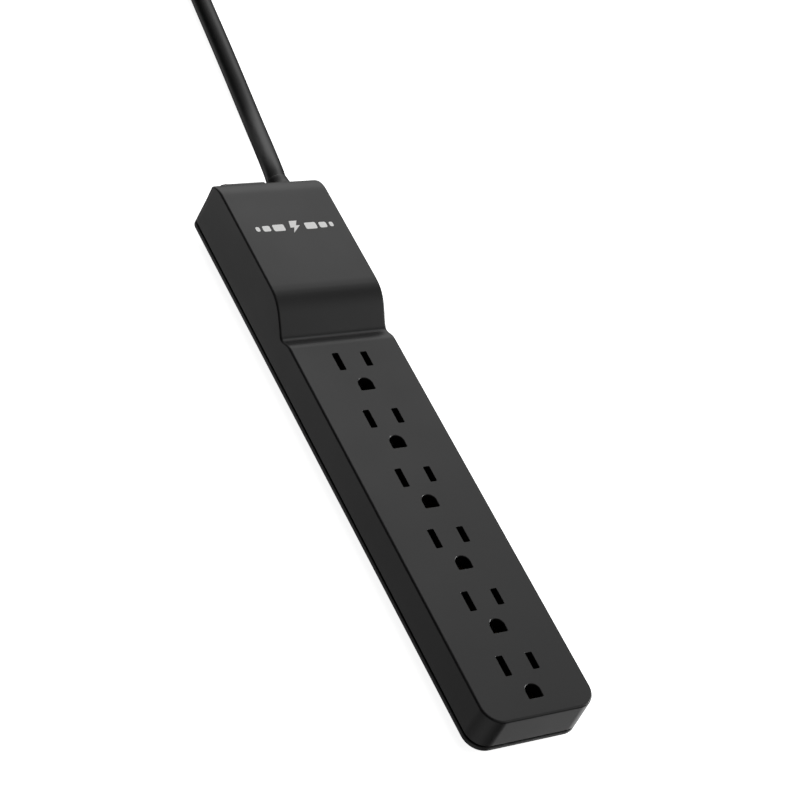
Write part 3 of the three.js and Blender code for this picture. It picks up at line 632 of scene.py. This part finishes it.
def edge_levels(r, depth=4.4):
    """A cutter's levels that leave the opening's edge rounded by r."""
    lev = [(FACE_Z - depth, 0.0), (FACE_Z - r, 0.0)]
    for a in (22, 44, 64):
        a = math.radians(a)
        lev.append((FACE_Z - r + r * math.sin(a), r * (1 - math.cos(a))))
    z, off = lev[-1]
    lev.append((FACE_Z + 1.0, off + (FACE_Z + 1.0 - z) * 1.35))
    return lev


def arch(off):
    w, flat, r = 3.02 + off, -2.8 - off, 3.02 + off
    rc = 0.35
    pts = []
    for i in range(4):
        a = math.radians(180 + 90 * i / 3)
        pts.append((-w + rc + rc * math.cos(a), flat + rc + rc * math.sin(a)))
    for i in range(4):
        a = math.radians(270 + 90 * i / 3)
        pts.append((w - rc + rc * math.cos(a), flat + rc + rc * math.sin(a)))
    for i in range(25):
        a = math.radians(180 * i / 24)
        pts.append((r * math.cos(a), r * math.sin(a) * 0.985))
    return pts


cutters = []
for y in OUTLETS:
    cutters.append(prism(lambda o, y=y: rr_loop(2.77 + 2 * o, 8.5 + 2 * o, 0.3 + o, 3, -6.1, y + 0.06), edge_levels(0.16)))
    cutters.append(prism(lambda o, y=y: rr_loop(2.77 + 2 * o, 7.05 + 2 * o, 0.3 + o, 3, 6.42, y + 0.06), edge_levels(0.16)))
    cutters.append(prism(lambda o, y=y: [(px + 0.12, py + y - GROUND_OFF) for px, py in arch(o)], edge_levels(0.42)))
# rear wall: switch cut-out and cord hole
cutters.append(box(SWITCH_X - 9.8, SWITCH_X + 9.8, 117, 136, SWITCH_Z - 6.6, SWITCH_Z + 6.6))
cutters.append(lathe([(0, 117), (5.7, 117), (5.7, 136), (0, 136)], 48, "y", (EXIT[0], 0, EXIT[2])))
shell = combine(shell, joined(cutters), "DIFFERENCE")
# collars that guide the blades, under each opening, and screw bosses
extra = []
for y in OUTLETS:
    z0 = FACE_Z - 4.1
    for cx, h in ((-6.1, 8.5), (6.42, 7.05)):
        o_ = loft([[(x, yy, z) for x, yy in rr_loop(5.0, h + 2.2, 0.8, 3, cx, y + 0.06)] for z in (z0, FACE_Z - TOP_WALL + 0.3)])
        i_ = loft([[(x, yy, z) for x, yy in rr_loop(2.77, h, 0.3, 3, cx, y + 0.06)] for z in (z0 - 1, FACE_Z)])
        extra.append(combine(o_, i_, "DIFFERENCE"))
    o_ = loft([[(x + 0.12, yy + y - GROUND_OFF, z) for x, yy in arch(1.1)] for z in (z0, FACE_Z - TOP_WALL + 0.3)])
    i_ = loft([[(x + 0.12, yy + y - GROUND_OFF, z) for x, yy in arch(0.0)] for z in (z0 - 1, FACE_Z)])
    extra.append(combine(o_, i_, "DIFFERENCE"))
for y in SCREW_Y:
    for sx in (-1, 1):
        top = (FACE_Z + HEAD_RISE if y > 70 else FACE_Z) - TOP_WALL + 0.5
        extra.append(lathe([(1.65, 4.7), (3.2, 4.7), (3.2, top), (0, top), (0, 16), (1.65, 16)], 28, "z", (sx * SCREW_X, y, 0), closed=True))
for e in extra:
    shell = combine(shell, e, "UNION")
shell = finish_piece(shell, "housing_top", M["housing"], "housing", ("top_shell",), angle=33)

# ------------------------------------------------------------------ bottom cover
lv = [(PAN_INSET + 0.5, 0.0, 0), (PAN_INSET - 0.05, 0.06, 0), (PAN_INSET - 0.45, 0.35, 0), (0.95, 5.25, 0), (0.6, 5.55, 0), (0.28, 5.8, 0), (0.1, 6.05, 0), (0.0, 6.4, 0), (0.0, 7.5, 0),
      (0.06, 7.68, 0), (0.22, 7.8, 0), (1.5, 7.8, 0), (1.5, TONGUE_TOP, 0), (2.7, TONGUE_TOP, 0), (2.7, 5.6, 0), (PAN_INSET + 0.5, FLOOR_T, 0)]
v, f = skin(lv, True, True)
cover = rough_object(v, f)
for y in SCREW_Y:
    for sx in (-1, 1):
        cover = combine(cover, lathe([(0, 0.6), (4.2, 0.6), (4.2, 4.4), (0, 4.4)], 36, "z", (sx * SCREW_X, y, 0)), "UNION")
for px, py in ((-16, 58), (16, 58), (-16, 84), (16, 84)):
    cover = combine(cover, lathe([(0, 1.0), (2.0, 1.0), (2.0, 5.7), (0, 5.7)], 24, "z", (px, py, 0)), "UNION")
cutters = []
for y in SCREW_Y:
    for sx in (-1, 1):
        cutters.append(lathe([(0, -1), (4.3, -1), (3.3, 0.0), (3.12, 0.25), (3.1, 2.6), (1.75, 2.6), (1.75, 6), (0, 6)], 40, "z", (sx * SCREW_X, y, 0)))


def keyhole(off):
    big, small, run = 3.7 + off, 2.1 + off, 8.0
    a0 = math.asin(small / big)
    pts = []
    for i in range(33):
        a = math.pi / 2 + a0 + (2 * math.pi - 2 * a0) * i / 32
        pts.append((14 + big * math.cos(a), big * math.sin(a)))
    for i in range(13):
        a = math.pi * i / 12
        pts.append((14 + small * math.cos(a), run + small * math.sin(a)))
    return pts


for ky in (-60, 40):
    cutters.append(loft([[(x, y + ky, z) for x, y in keyhole(o)] for z, o in ((-1, 1.1), (0.0, 0.22), (0.1, 0.08), (0.3, 0.0), (3.0, 0.0))]))
cutters.append(loft([[(x, y, z) for x, y in rr_loop(21 + 2 * o, 61 + 2 * o, 1.5 + o, 5, -3.5, 42)] for z, o in ((-1, 0.9), (0.0, 0.12), (0.15, 0.0), (0.5, 0.0))]))
cutters.append(box(SWITCH_X - 11, SWITCH_X + 11, 118, 130, SWITCH_Z - 6.9, 14))
cutters.append(box(EXIT[0] - 7.4, EXIT[0] + 7.4, 118, 130, EXIT[2] - 7.4, 14))
for c in cutters:
    cover = combine(cover, c, "DIFFERENCE")
cover = finish_piece(cover, "housing_bottom", M["cover"], "housing", ("bottom_cover",), angle=30)

# rating label: foil with plain bars and a row of upright bars, no wording
foil = loft([[(x, y, z) for x, y in rr_loop(20 - 2 * o, 60 - 2 * o, 1.2, 6, -3.5, 42)] for z, o in ((0.2, 0.0), (0.1, 0.0), (0.085, 0.03))])
finish_piece(foil, "label_plate", M["foil"], "housing", ("rating_label",))
bars = []
row = 0
for y, segs in ((68, (12,)), (64.6, (5, 6)), (61.8, (7, 3)), (59.0, (4, 4, 3)), (56.2, (9,)), (51, (3, 3, 3)), (34, (6, 7)), (31.2, (10,)), (28.4, (4, 7)), (25.6, (5, 3, 3)), (22.8, (8, 3)), (18.0, (13,))):
    x = 5.0
    for w in segs:
        bars.append(box(x - w, x, y - 0.55, y + 0.55, 0.07, 0.1))
        x -= w + 1.1
for x, w in zip((4.6, 3.3, 2.6, 1.2, 0.1, -0.9, -2.4, -3.2, -4.7, -5.6, -7.0, -8.2, -9.6), (.7, .3, .8, .5, .3, .9, .4, .7, .3, .8, .5, .7, .4)):
    bars.append(box(x - w, x, 38.5, 46.5, 0.07, 0.1))
finish_piece(joined(bars), "label_print", M["ink"], "housing", (), weighted=False)

# housing screws: pan heads with a cross recess
for n_, (sy, sx) in enumerate([(y, s) for y in SCREW_Y for s in (-1, 1)], 1):
    o_ = lathe([(0, 0.5), (0.9, 0.52), (1.6, 0.68), (2.2, 1.0), (2.6, 1.45), (2.74, 1.9), (2.75, 2.3), (1.38, 2.3), (1.38, 2.9), (1.15, 3.2), (1.15, 13.4), (0.5, 15.2), (0, 15.2)], 40, "z", (sx * SCREW_X, sy, 0))
    c1 = loft([[(sx * SCREW_X + x, sy + y, z) for x, y in ((-w, -0.42), (w, -0.42), (w, 0.42), (-w, 0.42))] for z, w in ((0.0, 2.1), (0.6, 1.9), (1.7, 0.9))])
    c2 = loft([[(sx * SCREW_X + x, sy + y, z) for x, y in ((-0.42, -w), (0.42, -w), (0.42, w), (-0.42, w))] for z, w in ((0.0, 2.1), (0.6, 1.9), (1.7, 0.9))])
    o_ = combine(combine(o_, c1, "DIFFERENCE"), c2, "DIFFERENCE")
    finish_piece(o_, f"cover_screw_{n_}", M["steel"], "housing", (f"housing_screw_{n_}",), angle=35)

# ------------------------------------------------------------------ generic mark printed on the head
HEAD_Z = FACE_Z + HEAD_RISE
mark = []
bolt = [(-1.5, 3.1), (2.1, 3.1), (0.75, 0.62), (2.55, 0.62), (-1.75, -3.1), (-0.45, -0.35), (-2.2, -0.35)]
MARK_Y, MARK_X = 101.1, 0.4
flat = lambda pts: loft([[(MARK_X + x, MARK_Y + y, z) for x, y in pts] for z in (HEAD_Z - 0.02, HEAD_Z + 0.018)])
mark.append(flat(bolt))
for sgn in (-1, 1):
    for k, w in enumerate((5.2, 3.4, 1.8)):
        c = sgn * (7.3 + (0, 5.6, 9.5)[k])
        mark.append(flat(rr_loop(w, 3.4 - 0.5 * k, 0.7, 4, c, 0)))
finish_piece(joined(mark), "head_mark", M["print"], "housing", (), weighted=False)

# ------------------------------------------------------------------ switch
outer = lambda o: rr_loop(21.2 - 2 * o, 15.2 - 2 * o, max(1.6 - o, 0.4), 7, SWITCH_X, SWITCH_Z)
inner_ = lambda o: rr_loop(17.0 + 2 * o, 10.6 + 2 * o, 0.5 + o, 7, SWITCH_X, SWITCH_Z)
to3 = lambda pts, y: [(x, y, z) for x, z in pts]
case = rr_loop(19.0, 12.6, 0.5, 7, SWITCH_X, SWITCH_Z)
loops = [to3(case, 111.9), to3(case, 130.8), to3(outer(0.0), 130.8), to3(outer(0.0), 131.6), to3(outer(0.12), 132.0), to3(outer(0.4), 132.28), to3(outer(0.75), 132.4),
         to3(inner_(0.5), 132.4), to3(inner_(0.2), 132.25), to3(inner_(0.0), 131.9), to3(inner_(0.0), 113.4)]
sw = loft(loops, cap=True)
cuts = [box(SWITCH_X + dx - 0.8, SWITCH_X + dx + 0.8, 109, 115, SWITCH_Z - 2.9, SWITCH_Z + 2.9) for dx in (-6, 0, 6)]
cuts.append(lathe([(0, -9), (1.35, -9), (1.35, 9), (0, 9)], 28, "z", (SWITCH_X, PIVOT_Y, SWITCH_Z)))
sw = combine(sw, joined(cuts), "DIFFERENCE")
for sx in (-1, 1):
    w_ = loft([[(SWITCH_X + sx * 9.3, 120.4, z), (SWITCH_X + sx * 10.6, 127.0, z), (SWITCH_X + sx * 9.3, 127.0, z)] for z in (SWITCH_Z - 2.5, SWITCH_Z + 2.5)])
    sw = combine(sw, w_, "UNION")
finish_piece(sw, "switch_case", M["switch"], "housing", ("switch_body",), angle=35)

pivot = Matrix.Translation((SWITCH_X, PIVOT_Y, SWITCH_Z)) @ Matrix.Rotation(math.radians(-9), 4, "Z")
rise = math.tan(math.radians(9))
V0 = 5.2
face_pts = []
for k in range(25):
    u = 7.4 - 14.8 * k / 24
    sag = 0.16 * (1 - abs(abs(u) - 3.7) / 3.7)
    face_pts.append((u, V0 + abs(u) * rise - sag + (0.10 * max(0.0, 1 - abs(u) / 1.2))))
out = face_pts + [(-7.85, 2.0), (-7.85, 0.9), (-2.9, -0.9), (-2.5, -3.0), (2.5, -3.0), (2.9, -0.9), (7.85, 0.9), (7.85, 2.0)]
rk = loft([[(x, y, z) for x, y in out] for z in (-5.0, 5.0)])
rk = combine(rk, lathe([(0, -6.2), (1.0, -6.2), (1.0, 6.2), (0, 6.2)], 24, "z"), "UNION")
rk = combine(rk, lathe([(0, -8), (1.5, -8), (1.5, 2.8), (0, 2.8)], 28, "y"), "DIFFERENCE")
finish_piece(rk, "rocker_key", M["rocker"], "rocker", ("rocker",), angle=30, bevel=0.4, place=pivot)


def on_face(u, z, lift):
    sag = 0.16 * (1 - abs(abs(u) - 3.7) / 3.7)
    return (u, V0 + abs(u) * rise - sag + lift, z)


marks = [loft([[on_face(u, z, lift) for u, z in ((3.45, -1.7), (4.15, -1.7), (4.15, 1.7), (3.45, 1.7))] for lift in (-0.05, 0.035)])]
ring_loops = [[], [], [], []]
for i in range(32):
    a = 2 * math.pi * i / 32
    for k, (r, lift) in enumerate(((1.25, -0.05), (1.25, 0.035), (1.8, 0.035), (1.8, -0.05))):
        ring_loops[k].append(on_face(-3.9 + r * math.cos(a), r * math.sin(a), lift))
marks.append(loft(ring_loops, cap=False, ring=True))
finish_piece(joined(marks), "rocker_marks", M["print"], "rocker", (), weighted=False, place=pivot)

# spring inside the rocker
coil_pts = [Vector((0.97 * math.cos(a), -1.4 + 3.8 * a / (12 * math.pi), 0.97 * math.sin(a))) for a in [2 * math.pi * i / 20 for i in range(121)]]
finish_piece(tube(coil_pts, 0.18, 8), "rocker_coil_spring", M["steel"], "rocker", ("rocker_spring",), weighted=False, place=pivot)

# ------------------------------------------------------------------ CAD nodes that stay, with their materials
for node, mat in (("contact_carrier", "carrier"), ("neutral_bus", "brass"), ("live_bus", "brass"), ("ground_bus", "brass"), ("surge_board", "board"),
                  ("varistor_1", "varistor"), ("varistor_2", "varistor"), ("varistor_3", "varistor"), ("thermal_fuse", "fuse"), ("film_capacitor", "capacitor"),
                  ("rocker_plunger", "nylon"), ("moving_contact", "copper"), ("line_terminal", "tin"), ("load_terminal", "tin"), ("lamp_terminal", "tin"),
                  ("rocker_lamp", "lamp"), ("live_wire", "wire_black"), ("switched_wire", "wire_black"), ("neutral_wire", "wire_white"), ("ground_wire", "wire_green")):
    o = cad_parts[node]
    o.data.materials.clear()
    o.data.materials.append(M[mat])

# ------------------------------------------------------------------ floor and light
fl = bpy.data.meshes.new("floor")
fl.from_pydata([(-6, -6, 0), (6, -6, 0), (6, 6, 0), (-6, 6, 0)], [], [(0, 1, 2, 3)])
floor = bpy.data.objects.new("floor", fl)
floor.location = (0, 0, -0.0004)
scene.collection.objects.link(floor)
m, nt, bsdf, coord = new_material("studio_floor")
nt.links.new(ramp(nt, noise(nt, coord, 3.0).outputs["Fac"], [(0.3, (0.80, 0.80, 0.80)), (0.7, (0.82, 0.82, 0.82))]).outputs["Color"], bsdf.inputs["Base Color"])
bsdf.inputs["Roughness"].default_value = 0.9
bsdf.inputs["Specular IOR Level"].default_value = 0.0
bsdf.inputs["Emission Color"].default_value = (1, 1, 1, 1)
bsdf.inputs["Emission Strength"].default_value = 0.9
fl.materials.append(m)
floor.visible_glossy = False

world = bpy.data.worlds.new("studio")
scene.world = world
world.use_nodes = True
wn = world.node_tree
bg = wn.nodes["Background"]
tc = wn.nodes.new("ShaderNodeTexCoord")
total = None
LOBES = [  # direction, tightness, brightness
    ((0.50, 0.62, 0.60), 16, 1.63),
    ((0.22, 0.94, 0.27), 7, 1.30),
    ((0.45, -0.55, 0.70), 7, 0.60),
    ((-0.42, 0.68, -0.60), 60, 1.00),
    ((-0.58, 0.40, -0.71), 10, 0.26),
    ((0.78, -0.18, -0.60), 28, 2.90),
    ((-0.50, -0.55, -0.67), 6, 0.50),
    ((0.0, 0.0, 1.0), 2, 0.08),
]
for d, power, amount in LOBES:
    v = Vector(d).normalized()
    dot = wn.nodes.new("ShaderNodeVectorMath")
    dot.operation = "DOT_PRODUCT"
    dot.inputs[1].default_value = v
    wn.links.new(tc.outputs["Generated"], dot.inputs[0])
    mx = wn.nodes.new("ShaderNodeMath")
    mx.operation = "MAXIMUM"
    mx.inputs[1].default_value = 0.0
    wn.links.new(dot.outputs["Value"], mx.inputs[0])
    pw = wn.nodes.new("ShaderNodeMath")
    pw.operation = "POWER"
    pw.inputs[1].default_value = power
    wn.links.new(mx.outputs[0], pw.inputs[0])
    ml = wn.nodes.new("ShaderNodeMath")
    ml.operation = "MULTIPLY_ADD"
    ml.inputs[1].default_value = amount
    ml.inputs[2].default_value = 0.004 if total is None else 0.0
    wn.links.new(pw.outputs[0], ml.inputs[0])
    if total is not None:
        wn.links.new(total.outputs[0], ml.inputs[2])
    total = ml
wn.links.new(total.outputs[0], bg.inputs["Strength"])
bg.inputs["Color"].default_value = (1, 1, 1, 1)


def area(name, direction, distance, size, power, target=(0, 0, 0.015), glossy=False):
    d = bpy.data.lights.new(name, "AREA")
    d.shape = "SQUARE"
    d.size = size
    d.energy = power
    o = bpy.data.objects.new(name, d)
    scene.collection.objects.link(o)
    v = Vector(direction).normalized()
    o.location = Vector(target) + v * distance
    o.rotation_euler = v.to_track_quat("Z", "Y").to_euler()
    o.visible_glossy = glossy
    return o


area("overhead", (0.15, 0.1, 1.0), 1.9, 2.6, 16.0)
area("low_right", (0.955, -0.22, 0.20), 1.2, 0.28, 7.0, glossy=True)
